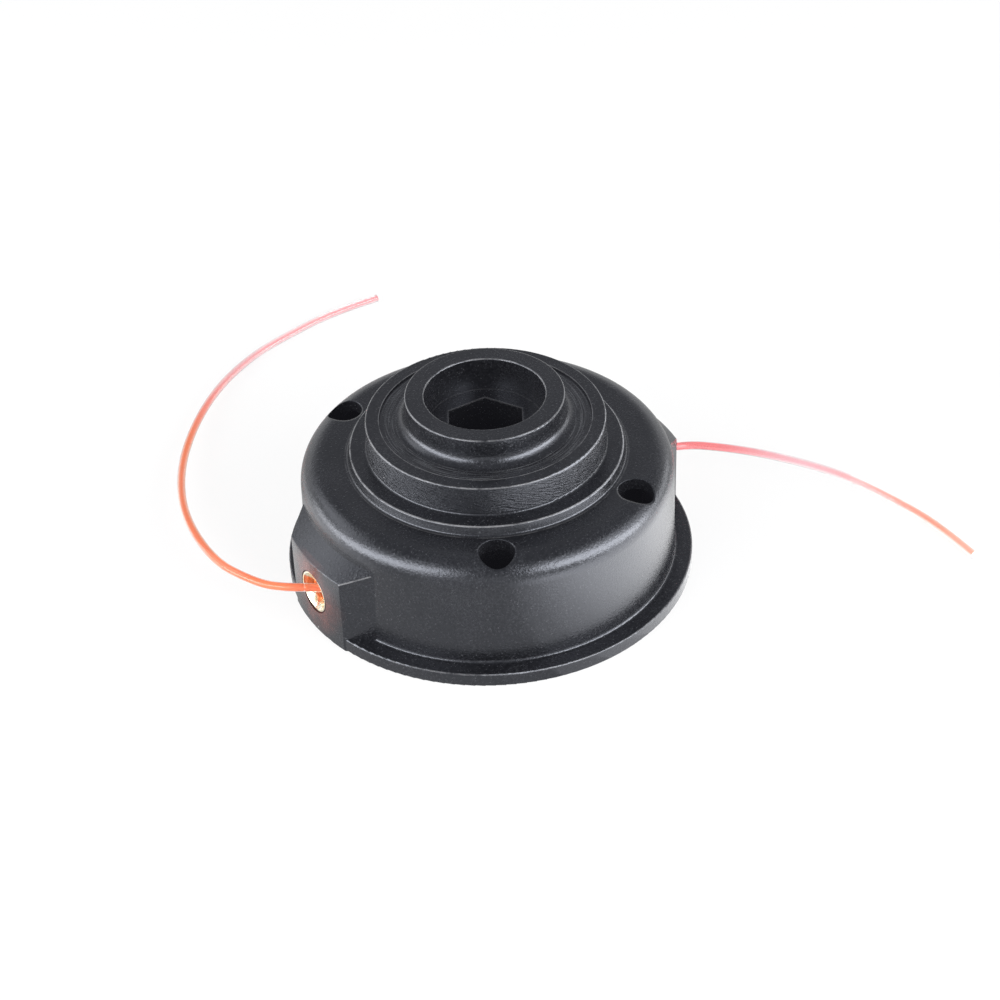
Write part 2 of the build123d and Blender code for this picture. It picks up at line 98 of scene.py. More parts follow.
class Nodes:
    """A node tree, with short ways to add nodes."""

    def __init__(self, tree):
        self.tree = tree

    def add(self, kind, **settings):
        node = self.tree.nodes.new(kind)
        for name, value in settings.items():
            setattr(node, name, value)
        return node

    def feed(self, value, socket):
        """Links an output to a socket, or sets a plain value on it."""
        if isinstance(value, bpy.types.NodeSocket):
            self.tree.links.new(value, socket)
        else:
            socket.default_value = value

    def math(self, operation, *values):
        node = self.add("ShaderNodeMath", operation=operation)
        for value, socket in zip(values, node.inputs):
            self.feed(value, socket)
        return node.outputs[0]

    def ramp(self, value, low, high, at_low=0.0, at_high=1.0, shape="SMOOTHSTEP"):
        """Step of a value between two limits, smooth if nothing else is asked for."""
        node = self.add("ShaderNodeMapRange", interpolation_type=shape)
        for given, socket in zip((value, low, high, at_low, at_high), node.inputs):
            self.feed(given, socket)
        return node.outputs[0]

    def ramp_linear(self, *values):
        """Straight rise of a value between two limits."""
        return self.ramp(*values, shape="LINEAR")

    def blend(self, factor, first, second):
        """Colour between two colours."""
        node = self.add("ShaderNodeMix", data_type="RGBA")
        self.feed(factor, node.inputs["Factor"])
        self.feed(first, node.inputs["A"])
        self.feed(second, node.inputs["B"])
        return node.outputs["Result"]


class Shader(Nodes):
    """A procedural material in the part's own coordinates."""

    def __init__(self, name):
        self.material = bpy.data.materials.new(name)
        self.material.use_nodes = True
        super().__init__(self.material.node_tree)
        self.bsdf = self.tree.nodes["Principled BSDF"]
        self.place = self.add("ShaderNodeTexCoord").outputs["Object"]
        self.split = None

    def noise(self, scale, detail, roughness, vector=None):
        node = self.add("ShaderNodeTexNoise")
        self.feed(vector or self.place, node.inputs["Vector"])
        node.inputs["Scale"].default_value = scale
        node.inputs["Detail"].default_value = detail
        node.inputs["Roughness"].default_value = roughness
        return node.outputs["Fac"]

    def length(self, a, b):
        """Length of a flat vector."""
        squares = self.math("ADD", self.math("MULTIPLY", a, a), self.math("MULTIPLY", b, b))
        return self.math("SQRT", squares)

    def vector(self, x, y, z):
        node = self.add("ShaderNodeCombineXYZ")
        for value, socket in zip((x, y, z), node.inputs):
            self.feed(value, socket)
        return node.outputs[0]

    def vector_math(self, operation, first, second=None):
        node = self.add("ShaderNodeVectorMath", operation=operation)
        self.feed(first, node.inputs[0])
        if second is not None:
            self.feed(second, node.inputs["Scale" if operation == "SCALE" else 1])
        return node.outputs["Value" if operation in ("DOT_PRODUCT", "LENGTH") else "Vector"]

    def parts(self):
        """x, y, z of a point, and its distance from the Z axis."""
        if self.split is None:
            node = self.add("ShaderNodeSeparateXYZ")
            self.feed(self.place, node.inputs[0])
            x, y, z = node.outputs
            self.split = x, y, z, self.length(x, y)
        return self.split

    def bump(self, height, strength, distance, normal=None):
        node = self.add("ShaderNodeBump")
        node.inputs["Strength"].default_value = strength
        node.inputs["Distance"].default_value = distance
        self.feed(height, node.inputs["Height"])
        if normal is not None:
            self.feed(normal, node.inputs["Normal"])
        return node.outputs["Normal"]

    def set(self, **values):
        """Values or links for the surface's own sockets."""
        for name, value in values.items():
            self.feed(value, self.bsdf.inputs[name.replace("_", " ").title().replace("Ior", "IOR")])


# Black nylon
NYLON_DARK = (0.0015, 0.0016, 0.0020, 1)
NYLON_LIGHT = (0.0110, 0.0115, 0.0130, 1)
NYLON_SPECK = (0.075, 0.077, 0.082, 1)
# Pale colour of the housing's edges: partly wear, partly painted highlight
NYLON_WEAR_AND_HIGHLIGHT = (0.15, 0.15, 0.155, 1)
NYLON_DUST = (0.50, 0.49, 0.46, 1)
NYLON_GLEAM = (0.85, 0.89, 1.0, 1)
# Painted glow: a faint bluish emission on all the nylon, standing in for glare that lifts its darks
NYLON_GLARE_GLOW = (1.0, 1.0, 1.25, 1)
NYLON_GLARE_GLOW_LEVEL = 0.005
NYLON_IOR = 1.64
NYLON_ROUGH = (0.17, 0.29)
GRAIN_DEPTH = 0.075 * MM
# Noises, here and below: scale, detail and roughness
GRAIN_NOISE = (1700.0, 2.5, 0.65)
CLOUD_NOISE = (55.0, 4.0, 0.55)
# Shares of grain and clouds in the tone, and the ranges of it that set colour, specks and gloss
TONE_SHARES = (0.7, 0.3)
TONE_RANGE = (0.36, 0.64)
SPECK_RANGE = (0.64, 0.78)
ROUGH_RANGE = (0.35, 0.65)
# Dust: cells in a metre, share of cells that stay clean, and radius and core of a dot in cells
DUST_SCALE = 135.0
DUST_SHARE = 0.74
DUST_RADIUS = 0.036
DUST_CORE = 0.4 * DUST_RADIUS
# Pale edge bands, partly wear and partly painted highlight: width, band, patchy noise and its range
WEAR_HIGHLIGHT_WIDTH = 0.32 * MM
WEAR_HIGHLIGHT_BAND = (0.3 * WEAR_HIGHLIGHT_WIDTH, WEAR_HIGHLIGHT_WIDTH)
WEAR_HIGHLIGHT_NOISE = (240.0, 4.0, 0.65)
WEAR_HIGHLIGHT_RANGE = (0.25, 0.60)

# Circles of the housing's edges painted pale, partly as wear and partly as painted highlight: radius, height
# and how pale
EDGES_WEAR_AND_HIGHLIGHT = [
    (20.2, 51.1, 0.8), (15.4, 51.1, 0.8), (30.5, 44.3, 1.0), (27.0, 44.4, 0.8),
    (34.9, 36.0, 1.0), (36.3, 33.7, 0.3), (14.5, 42.3, 0.2),
]
FLANGE_WEAR_AND_HIGHLIGHT = [(52.9, 3.7, 0.5), (52.9, 0.1, 0.9)]
# How far to the side of the bosses the flange's wear and painted highlight begin
BOSS_CLEAR = (12.2 * MM, 13.4 * MM)
# Edge of a boss painted pale, partly as wear and partly as painted highlight, and its opposite on the other
# boss
BOSS_EDGE = (Vector((-51.98, -11.8, 21.5)) * MM, Vector((-45.6, -16.8, 24.5)) * MM)

# Ring wall, scuffed in slanting strokes
RING_WALL_R = (30.2 * MM, 30.35 * MM)
RING_WALL_END = 30.75 * MM
RING_WALL_Z = (36.4 * MM, 37.0 * MM, 43.6 * MM, 44.0 * MM)
RING_SCUFF = (0.006, 0.0065, 0.008, 1)
STROKE_SLANT = radians(-16.0)
STROKE_ALONG = 260.0
STROKE_ACROSS = 3400.0
STROKE_DEPTH = 0.08 * MM
STROKE_NOISE = (1.0, 3.0, 0.6)
STROKE_RANGE = (0.35, 0.70)

# Ring's dished top, scuffed round the hub
RING_TOP_R = (20.9 * MM, 22.5 * MM, 26.4 * MM, 26.9 * MM)
RING_TOP_Z = (43.2 * MM, 43.4 * MM, 43.9 * MM, 44.0 * MM)
SCUFF_ALONG = 90.0
SCUFF_ACROSS = 3000.0
SCUFF_RANGE = (0.42, 0.72)

# Lip of the hexagonal socket, with a painted highlight along its inner edge: half its width across the
# flats, its turn and its height
LIP_HALF = 9.35 * MM
LIP_TURN = radians(28.0)
LIP_Z = 42.3 * MM
LIP_BAND = (0.5 * WEAR_HIGHLIGHT_WIDTH, 1.4 * WEAR_HIGHLIGHT_WIDTH)
LIP_PAINTED_HIGHLIGHT = (0.06, 0.06, 0.063, 1)

# Painted reflection of the red line on the bosses round the eyelets
EYELET_Z = 12.0 * MM
BOSS_FACE_R = 52.0 * MM
LINE_REFLECTION_R = (6.0 * MM, 13.0 * MM)
LINE_REFLECTION_NOISE = (130.0, 4.0, 0.6)
LINE_REFLECTION_RANGE = (0.25, 0.75)
LINE_REFLECTION_PAINT = (0.125, 0.036, 0.027, 1)

# Rims of the four openings in the shoulder: the openings' place in X and Y, and their radii
VENT_PLACE = (20.85 * MM, 36.11 * MM)
VENT_RIM = (4.45 * MM, 4.90 * MM)
VENT_RIM_DROP = 0.30 * MM


def dust(shader):
    """Mask of sparse pale dots."""
    cells = shader.add("ShaderNodeTexVoronoi")
    shader.feed(shader.place, cells.inputs["Vector"])
    cells.inputs["Scale"].default_value = DUST_SCALE
    dot = shader.ramp(cells.outputs["Distance"], DUST_CORE, DUST_RADIUS, 1.0, 0.0)
    chance = shader.add("ShaderNodeSeparateColor")
    shader.feed(cells.outputs["Color"], chance.inputs[0])
    return shader.math("MULTIPLY", dot, shader.math("GREATER_THAN", chance.outputs[0], DUST_SHARE))


def near_circles(shader, edges):
    """Mask of a narrow band along circles about the Z axis."""
    _, _, height, across = shader.parts()
    mask = 0.0
    for radius, level, share in edges:
        out = shader.math("SUBTRACT", across, radius * MM)
        up = shader.math("SUBTRACT", height, level * MM)
        near = shader.length(out, up)
        mask = shader.math("MAXIMUM", mask, shader.ramp(near, *WEAR_HIGHLIGHT_BAND, share, 0.0))
    return mask


def near_edge(shader, start, end):
    """Mask of a narrow band along a straight edge, and along its opposite half a turn away."""
    x, y, z, _ = shader.parts()
    side = shader.math("MULTIPLY", shader.math("SIGN", x), -1.0)
    point = shader.vector(shader.math("MULTIPLY", x, side), shader.math("MULTIPLY", y, side), z)
    run = end - start
    offset = shader.vector_math("SUBTRACT", point, tuple(start))
    share = shader.math("DIVIDE", shader.vector_math("DOT_PRODUCT", offset, tuple(run)), run.length_squared)
    share = shader.ramp_linear(share, 0.0, 1.0)
    nearest = shader.vector_math("SCALE", tuple(run), share)
    away = shader.vector_math("LENGTH", shader.vector_math("SUBTRACT", offset, nearest))
    return shader.ramp(away, *WEAR_HIGHLIGHT_BAND, 1.0, 0.0)


def edge_wear_and_highlight(shader):
    """Mask of the housing's edges painted pale, partly as wear and partly as painted highlight."""
    _, y, _, _ = shader.parts()
    off_boss = shader.ramp(shader.math("ABSOLUTE", y), *BOSS_CLEAR)
    flange = shader.math("MULTIPLY", near_circles(shader, FLANGE_WEAR_AND_HIGHLIGHT), off_boss)
    wear_and_highlight = shader.math("MAXIMUM", near_circles(shader, EDGES_WEAR_AND_HIGHLIGHT), flange)
    wear_and_highlight = shader.math("MAXIMUM", wear_and_highlight, near_edge(shader, *BOSS_EDGE))
    patches = shader.ramp(shader.noise(*WEAR_HIGHLIGHT_NOISE), *WEAR_HIGHLIGHT_RANGE)
    return shader.math("MULTIPLY", wear_and_highlight, patches)


def ring_strokes(shader):
    """Mask of the scuffs on the ring's wall."""
    x, y, z, across = shader.parts()
    along = shader.math("MULTIPLY", shader.math("ARCTAN2", y, x), RING_WALL_R[1])
    c, s = cos(STROKE_SLANT), sin(STROKE_SLANT)
    with_stroke = shader.math("ADD", shader.math("MULTIPLY", along, c), shader.math("MULTIPLY", z, s))
    over_stroke = shader.math("SUBTRACT", shader.math("MULTIPLY", z, c), shader.math("MULTIPLY", along, s))
    place = shader.vector(shader.math("MULTIPLY", with_stroke, STROKE_ALONG),
                          shader.math("MULTIPLY", over_stroke, STROKE_ACROSS), 0.0)
    strokes = shader.ramp(shader.noise(*STROKE_NOISE, place), *STROKE_RANGE)
    wall = shader.math("MULTIPLY", shader.ramp(across, *RING_WALL_R),
                       shader.math("LESS_THAN", across, RING_WALL_END))
    low, low_full, high_full, high = RING_WALL_Z
    band = shader.math("MULTIPLY", shader.ramp(z, low, low_full), shader.ramp(z, high_full, high, 1.0, 0.0))
    return shader.math("MULTIPLY", shader.math("MULTIPLY", wall, band), strokes)


def ring_top_scuffs(shader):
    """Mask of the turning scuffs on the ring's dished top."""
    x, y, z, across = shader.parts()
    along = shader.math("ARCTAN2", y, x)
    place = shader.vector(shader.math("MULTIPLY", along, SCUFF_ALONG * RING_TOP_R[1]),
                          shader.math("MULTIPLY", across, SCUFF_ACROSS), 0.0)
    scuffs = shader.ramp(shader.noise(*STROKE_NOISE, place), *SCUFF_RANGE)
    ring = shader.math("MULTIPLY", shader.ramp(across, *RING_TOP_R[:2]),
                       shader.ramp(across, *RING_TOP_R[2:], 1.0, 0.0))
    top = shader.math("MULTIPLY", shader.ramp(z, *RING_TOP_Z[:2]), shader.ramp(z, *RING_TOP_Z[2:], 1.0, 0.0))
    return shader.math("MULTIPLY", shader.math("MULTIPLY", ring, top), scuffs)


def painted_lip_highlight(shader):
    """Mask of the painted highlight along the lip's inner edge round the hexagonal socket."""
    x, y, z, _ = shader.parts()
    reach = 0.0
    for k in range(3):
        turn = LIP_TURN + k * pi / 3
        over = shader.math("ADD", shader.math("MULTIPLY", x, cos(turn)),
                           shader.math("MULTIPLY", y, sin(turn)))
        reach = shader.math("MAXIMUM", reach, shader.math("ABSOLUTE", over))
    near = shader.length(shader.math("SUBTRACT", reach, LIP_HALF), shader.math("SUBTRACT", z, LIP_Z))
    return shader.ramp(near, *LIP_BAND, 1.0, 0.0)


def painted_line_reflection(shader):
    """Mask of the painted reflection of the line on the bosses' faces."""
    _, y, z, across = shader.parts()
    away = shader.length(y, shader.math("SUBTRACT", z, EYELET_Z))
    face = shader.math("MULTIPLY", shader.math("GREATER_THAN", across, BOSS_FACE_R),
                       shader.ramp(away, *LINE_REFLECTION_R, 1.0, 0.0))
    return shader.math("MULTIPLY", face, shader.ramp(shader.noise(*LINE_REFLECTION_NOISE), *LINE_REFLECTION_RANGE))


def vent_rims(shader):
    """Height that falls away round the rims of the four openings."""
    x, y, _, _ = shader.parts()
    out = shader.length(shader.math("SUBTRACT", shader.math("ABSOLUTE", x), VENT_PLACE[0]),
                        shader.math("SUBTRACT", shader.math("ABSOLUTE", y), VENT_PLACE[1]))
    return shader.ramp(out, *VENT_RIM)


def nylon(name, housing=False, dusty=True):
    """Moulded nylon with fine grain, soft clouds, dust and a faint painted glow, and with the housing's
    scuffs, its edges painted pale as wear and painted highlight, a painted highlight on the socket's lip and
    a painted reflection of the line on the bosses.
    """
    shader = Shader(name)
    grain = shader.noise(*GRAIN_NOISE)
    clouds = shader.noise(*CLOUD_NOISE)
    tone = shader.math("ADD", shader.math("MULTIPLY", grain, TONE_SHARES[0]),
                       shader.math("MULTIPLY", clouds, TONE_SHARES[1]))
    colour = shader.blend(shader.ramp(tone, *TONE_RANGE), NYLON_DARK, NYLON_LIGHT)
    colour = shader.blend(shader.ramp(grain, *SPECK_RANGE), colour, NYLON_SPECK)
    rough = shader.ramp(tone, *ROUGH_RANGE, *NYLON_ROUGH)
    normal = shader.bump(grain, 1.0, GRAIN_DEPTH)
    if housing:
        strokes = ring_strokes(shader)
        colour = shader.blend(strokes, colour, RING_SCUFF)
        colour = shader.blend(ring_top_scuffs(shader), colour, NYLON_SPECK)
        # Reddish painted reflection of the line round the eyelets
        colour = shader.blend(painted_line_reflection(shader), colour, LINE_REFLECTION_PAINT)
        # Painted highlight along the socket lip's inner edge
        colour = shader.blend(painted_lip_highlight(shader), colour, LIP_PAINTED_HIGHLIGHT)
        # Edges painted pale: partly wear, partly painted highlight
        colour = shader.blend(edge_wear_and_highlight(shader), colour, NYLON_WEAR_AND_HIGHLIGHT)
        normal = shader.bump(strokes, 1.0, STROKE_DEPTH, normal)
        normal = shader.bump(vent_rims(shader), 1.0, VENT_RIM_DROP, normal)
    if dusty:
        colour = shader.blend(dust(shader), colour, NYLON_DUST)
    # The emission is painted glow
    shader.set(base_color=colour, roughness=rough, normal=normal, ior=NYLON_IOR, specular_tint=NYLON_GLEAM,
               emission_color=NYLON_GLARE_GLOW, emission_strength=NYLON_GLARE_GLOW_LEVEL)
    return shader.material


# Brass of the eyelets
BRASS_BRIGHT = (1.0, 0.94, 0.76, 1)
BRASS_DULL = (0.92, 0.64, 0.32, 1)
BRASS_ROUGH = (0.12, 0.30)
BRASS_NOISE = (420.0, 4.0, 0.6)
BRASS_RANGE = (0.45, 0.75)
# Turning marks: marks in a metre, their noise, and their bump's strength and depth
MARK_SCALE = 9000.0
MARK_NOISE = (1.0, 2.0, 0.5)
MARK_BUMP = (0.08, 0.03 * MM)


def brass(name):
    """Polished brass with faint turning marks and a few dull patches."""
    shader = Shader(name)
    patches = shader.ramp(shader.noise(*BRASS_NOISE), *BRASS_RANGE)
    x = shader.parts()[0]
    marks = shader.noise(*MARK_NOISE, shader.math("MULTIPLY", x, MARK_SCALE))
    shader.set(
        base_color=shader.blend(patches, BRASS_BRIGHT, BRASS_DULL),
        roughness=shader.ramp(patches, 0.0, 1.0, *BRASS_ROUGH),
        normal=shader.bump(marks, *MARK_BUMP),
        metallic=1.0,
    )
    return shader.material


# Steel of the nut, washer and spring
STEEL_PLATED = (0.60, 0.60, 0.58, 1)
STEEL_DULL = (0.36, 0.35, 0.33, 1)
SPRING_DARK = (0.16, 0.155, 0.15, 1)
SPRING_LIGHT = (0.34, 0.33, 0.32, 1)
NUT_ROUGH = 0.26
WASHER_ROUGH = 0.32
SPRING_ROUGH = 0.30
TARNISH_NOISE = (260.0, 5.0, 0.6)
TARNISH_RANGE = (0.35, 0.75)
SCRATCH_NOISE = (2400.0, 3.0, 0.6)
SCRATCH_RANGE = (0.3, 0.7)
SCRATCH_ROUGH = 0.15
SCRATCH_BUMP = (0.10, 0.05 * MM)


def steel(name, bright, dull, rough):
    """Plated or oiled steel with cloudy tarnish and fine scratches."""
    shader = Shader(name)
    tarnish = shader.ramp(shader.noise(*TARNISH_NOISE), *TARNISH_RANGE)
    scratches = shader.noise(*SCRATCH_NOISE)
    shader.set(
        base_color=shader.blend(tarnish, bright, dull),
        roughness=shader.ramp(scratches, *SCRATCH_RANGE, rough, rough + SCRATCH_ROUGH),
        normal=shader.bump(scratches, *SCRATCH_BUMP),
        metallic=1.0,
    )
    return shader.material


# Line
LINE_ORANGE = (1.0, 0.27, 0.13, 1)
LINE_SALMON = (1.0, 0.29, 0.30, 1)
LINE_PINK = (1.0, 0.40, 0.42, 1)
LINE_PALE = (1.0, 0.58, 0.63, 1)
LINE_TIP = (1.0, 0.36, 0.22, 1)
LINE_CLEAR = (1.0, 0.97, 0.97, 1)
LINE_IOR = 1.53
LINE_ROUGH = (0.04, 0.09)
LINE_NOISE = (900.0, 2.0, 0.5)
LINE_RANGE = (0.3, 0.7)
# Where the line turns from orange to salmon, where each tail grows pale,
# and where the right one is orange again
SALMON_X = (0.0, 60.0 * MM)
PALE_BACK_Y = (82.0 * MM, 118.0 * MM)
PALE_RIGHT_X = (66.0 * MM, 86.0 * MM)
TIP_Y = (-22.0 * MM, -66.0 * MM)
# How far in from its edges the line is clear, by how it faces the eye:
# close to the eyelets, far from them, and where that changes
EDGE_NEAR = (0.46, 0.69)
EDGE_FAR = (0.06, 0.36)
FAR_Y = (96.0 * MM, 119.0 * MM)
FAR_X = (56.0 * MM, 84.0 * MM)
# How far light passes through the line, close to the eyelets and far from them, and where that changes
LINE_PASS = (0.50, 0.90)
PASS_Y = (5.0 * MM, 28.0 * MM)
PASS_X = (56.0 * MM, 67.0 * MM)


def line_nylon(name):
    """Clear monofilament, orange to pale pink along its length, whose tint thins out to its edges."""
    shader = Shader(name)
    x, y, _, _ = shader.parts()
    marks = shader.noise(*LINE_NOISE)
    colour = shader.blend(shader.ramp(x, *SALMON_X), LINE_ORANGE, LINE_SALMON)
    colour = shader.blend(shader.ramp(y, *PALE_BACK_Y), colour, LINE_PINK)
    colour = shader.blend(shader.ramp(x, *PALE_RIGHT_X), colour, LINE_PALE)
    colour = shader.blend(shader.ramp(y, *TIP_Y), colour, LINE_TIP)
    far = shader.math("MAXIMUM", shader.ramp_linear(y, *FAR_Y), shader.ramp_linear(x, *FAR_X))
    clear = shader.math("MAXIMUM", shader.ramp_linear(y, *PASS_Y), shader.ramp_linear(x, *PASS_X))
    facing = shader.add("ShaderNodeLayerWeight").outputs["Facing"]
    start = shader.ramp_linear(far, 0.0, 1.0, EDGE_NEAR[0], EDGE_FAR[0])
    end = shader.ramp_linear(far, 0.0, 1.0, EDGE_NEAR[1], EDGE_FAR[1])
    shader.set(
        base_color=shader.blend(shader.ramp(facing, start, end), colour, LINE_CLEAR),
        roughness=shader.ramp(marks, *LINE_RANGE, *LINE_ROUGH),
        transmission_weight=shader.ramp_linear(clear, 0.0, 1.0, *LINE_PASS),
        ior=LINE_IOR,
    )
    return shader.material


HOUSING_NYLON = nylon("housing_nylon", housing=True)
COVER_NYLON = nylon("cover_nylon")
SPOOL_NYLON = nylon("spool_nylon", dusty=False)
KNOB_NYLON = nylon("knob_nylon")
EYELET_BRASS = brass("eyelet_brass")
NUT_STEEL = steel("nut_steel", STEEL_PLATED, STEEL_DULL, NUT_ROUGH)
WASHER_STEEL = steel("washer_steel", STEEL_PLATED, STEEL_DULL, WASHER_ROUGH)
SPRING_STEEL = steel("spring_steel", SPRING_LIGHT, SPRING_DARK, SPRING_ROUGH)
LINE_NYLON = line_nylon("line_nylon")

NODE_MATERIALS = {
    "housing": HOUSING_NYLON,
    "cover": COVER_NYLON,
    "spool": SPOOL_NYLON,
    "knob": KNOB_NYLON,
    "eyelet_left": EYELET_BRASS,
    "eyelet_right": EYELET_BRASS,
    "drive_nut": NUT_STEEL,
    "thrust_washer": WASHER_STEEL,
}
for name, material in NODE_MATERIALS.items():
    nodes[name].data.materials.clear()
    nodes[name].data.materials.append(material)


# Meshes


def mesh_object(name, vertices, faces, material, smooth=True):
    """New object from plain vertices and faces."""
    mesh = bpy.data.meshes.new(name)
    mesh.from_pydata([tuple(v) for v in vertices], [], faces)
    mesh.update()
    mesh.materials.append(material)
    mesh.polygons.foreach_set("use_smooth", [smooth] * len(mesh.polygons))
    obj = bpy.data.objects.new(name, mesh)
    bpy.context.scene.collection.objects.link(obj)
    return obj


def swept(name, path, radius, sides, material):
    """Round wire along a path, with flat ends."""
    vertices, faces = [], []
    side = None
    for k, point in enumerate(path):
        before = path[max(k - 1, 0)]
        after = path[min(k + 1, len(path) - 1)]
        along = (after - before).normalized()
        if side is None:
            side = along.orthogonal().normalized()
        side = (side - along * side.dot(along)).normalized()
        up = along.cross(side)
        for j in range(sides):
            turn = 2 * pi * j / sides
            vertices.append(point + radius * (cos(turn) * side + sin(turn) * up))
    for k in range(len(path) - 1):
        for j in range(sides):
            here, there = k * sides + j, k * sides + (j + 1) % sides
            faces.append((here, there, there + sides, here + sides))
    last = (len(path) - 1) * sides
    faces.append(tuple(reversed(range(sides))))
    faces.append(tuple(range(last, last + sides)))
    return mesh_object(name, vertices, faces, material)


def route_curve(name, points):
    """Smooth NURBS curve that has a route's points as its control points."""
    curve = bpy.data.curves.new(name, "CURVE")
    curve.dimensions = "3D"
    spline = curve.splines.new("NURBS")
    spline.points.add(len(points) - 1)
    for point, control in zip(points, spline.points):
        control.co = (*point, 1.0)
    spline.order_u = ROUTE_ORDER
    spline.use_endpoint_u = True
    spline.resolution_u = ROUTE_STEPS
    obj = bpy.data.objects.new(name, curve)
    bpy.context.scene.collection.objects.link(obj)
    return obj


def line_tail(name, node, points):
    """Free end of the line, from its eyelet's mouth to the cut end."""
    tail = route_curve(name, points)
    tail.data.bevel_depth = LINE_D / 2
    tail.data.bevel_resolution = LINE_BEVEL
    tail.data.use_fill_caps = True
    tail.data.materials.append(LINE_NYLON)
    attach(tail, "housing")
    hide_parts(node)


line_tail("line_tail_left_free", "line_tail_left", TAIL_LEFT)
line_tail("line_tail_right_free", "line_tail_right", TAIL_RIGHT)

# Leads from the windings through the eyelets
LEAD_R = 31.0 * MM
EYELET_TO_MOUTH = 6.0 * MM
LEAD_STEPS = 24


def lead_route(tail, node):
    """Points of a lead: where it leaves the winding, its bend at the eyelet and the eyelet's mouth."""
    mouth = tail[0]
    back = (mouth - tail[1]).normalized()
    bend = mouth + back * EYELET_TO_MOUTH
    low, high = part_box(node)
    angle = atan2(bend.y, bend.x) + acos(LEAD_R / hypot(bend.x, bend.y))
    inner = high.z - LINE_D / 2 if high.z - bend.z > LINE_D else low.z + LINE_D / 2
    return [Vector((LEAD_R * cos(angle), LEAD_R * sin(angle), inner)), bend, mouth]


def line_lead(name, node, tail):
    """Length of line inside the head, from the winding to the eyelet's mouth."""
    start, bend, mouth = lead_route(tail, node)
    path = []
    for k in range(LEAD_STEPS + 1):
        t = k / LEAD_STEPS
        path.append(start * (1 - t) ** 2 + bend * (2 * t * (1 - t)) + mouth * t ** 2)
    lead = swept(name, path, LINE_D / 2, LINE_SIDES, LINE_NYLON)
    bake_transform(lead)
    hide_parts(node)


line_lead("line_lead_left_run", "line_lead_left", TAIL_LEFT)
line_lead("line_lead_right_run", "line_lead_right", TAIL_RIGHT)

# Windings: turns side by side, layer on layer
TURNS_ACROSS = 2
TURN_STEPS = 72
WINDING_SIDES = 12
WINDING_INNER_R = 21.05 * MM
# Thickness of a turn as a share of the line's, so that turns don't cut into each other
TURN_FILL = 0.98


def winding(name, node):
    """Turns of line in one chamber of the spool."""
    low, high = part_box(node)
    layers = int((high.x - WINDING_INNER_R) / LINE_D)
    pitch = (high.z - low.z) / TURNS_ACROSS
    path = []
    for layer in range(layers):
        radius = high.x - LINE_D / 2 - (layers - 1 - layer) * LINE_D
        rising = layer % 2 == 0
        for k in range(TURNS_ACROSS * TURN_STEPS):
            turn = k / TURN_STEPS
            level = min(max(turn, 0.5), TURNS_ACROSS - 0.5) * pitch
            angle = 2 * pi * turn
            z = low.z + level if rising else high.z - level
            path.append(Vector((radius * cos(angle), radius * sin(angle), z)))
    coil = swept(name, path, LINE_D / 2 * TURN_FILL, WINDING_SIDES, LINE_NYLON)
    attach(coil, "spool")
    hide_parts(node)


winding("line_turns_lower", "line_winding_lower")
winding("line_turns_upper", "line_winding_upper")

# Spring with closed ends
SPRING_WIRE_R = 0.8 * MM
SPRING_TURNS = 5.5
SPRING_END_TURNS = 0.75
SPRING_STEPS = 48
SPRING_SIDES = 14


def spring():
    """Compression spring with closed ends."""
    low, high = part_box("spring")
    radius = high.x - SPRING_WIRE_R
    bottom = low.z + SPRING_WIRE_R
    top = high.z - SPRING_WIRE_R
    closing = 2 * SPRING_WIRE_R * SPRING_END_TURNS
    path = []
    steps = int(SPRING_TURNS * SPRING_STEPS)
    for k in range(steps + 1):
        turn = SPRING_TURNS * k / steps
        if turn < SPRING_END_TURNS:
            z = bottom + closing * turn / SPRING_END_TURNS
        elif turn > SPRING_TURNS - SPRING_END_TURNS:
            z = top - closing * (SPRING_TURNS - turn) / SPRING_END_TURNS
        else:
            share = (turn - SPRING_END_TURNS) / (SPRING_TURNS - 2 * SPRING_END_TURNS)
            z = bottom + closing + share * (top - bottom - 2 * closing)
        angle = 2 * pi * turn
        path.append(Vector((radius * cos(angle), radius * sin(angle), z)))
    coil = swept("spring_coil", path, SPRING_WIRE_R, SPRING_SIDES, SPRING_STEEL)
    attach(coil, "housing")
    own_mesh(coil)
    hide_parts("spring")


spring()

# Thread in the drive nut
THREAD_R = 4.32 * MM
THREAD_PITCH = 1.25 * MM
THREAD_DEPTH = 0.25 * MM
THREAD_WIDTH = 0.9 * MM
THREAD_STEPS = 40


def nut_thread():
    """Helical ridge inside the nut's hole."""
    low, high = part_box("drive_nut")
    length = high.z - low.z - 2 * THREAD_PITCH
    steps = int(length / THREAD_PITCH * THREAD_STEPS)
    crest = THREAD_R - THREAD_DEPTH
    profile = ((THREAD_R, -THREAD_WIDTH / 2), (crest, 0.0), (THREAD_R, THREAD_WIDTH / 2))
    vertices, faces = [], []
    for k in range(steps + 1):
        turn = 2 * pi * k / THREAD_STEPS
        z = low.z + THREAD_PITCH + length * k / steps
        for radius, rise in profile:
            vertices.append((radius * cos(turn), radius * sin(turn), z + rise))
    for k in range(steps):
        a = 3 * k
        faces.append((a, a + 1, a + 4, a + 3))
        faces.append((a + 1, a + 2, a + 5, a + 4))
        faces.append((a + 2, a, a + 3, a + 5))
    faces.append((0, 2, 1))
    faces.append((3 * steps, 3 * steps + 1, 3 * steps + 2))
    ridge = mesh_object("drive_nut_thread", vertices, faces, NUT_STEEL, smooth=False)
    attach(ridge, "housing")


nut_thread()

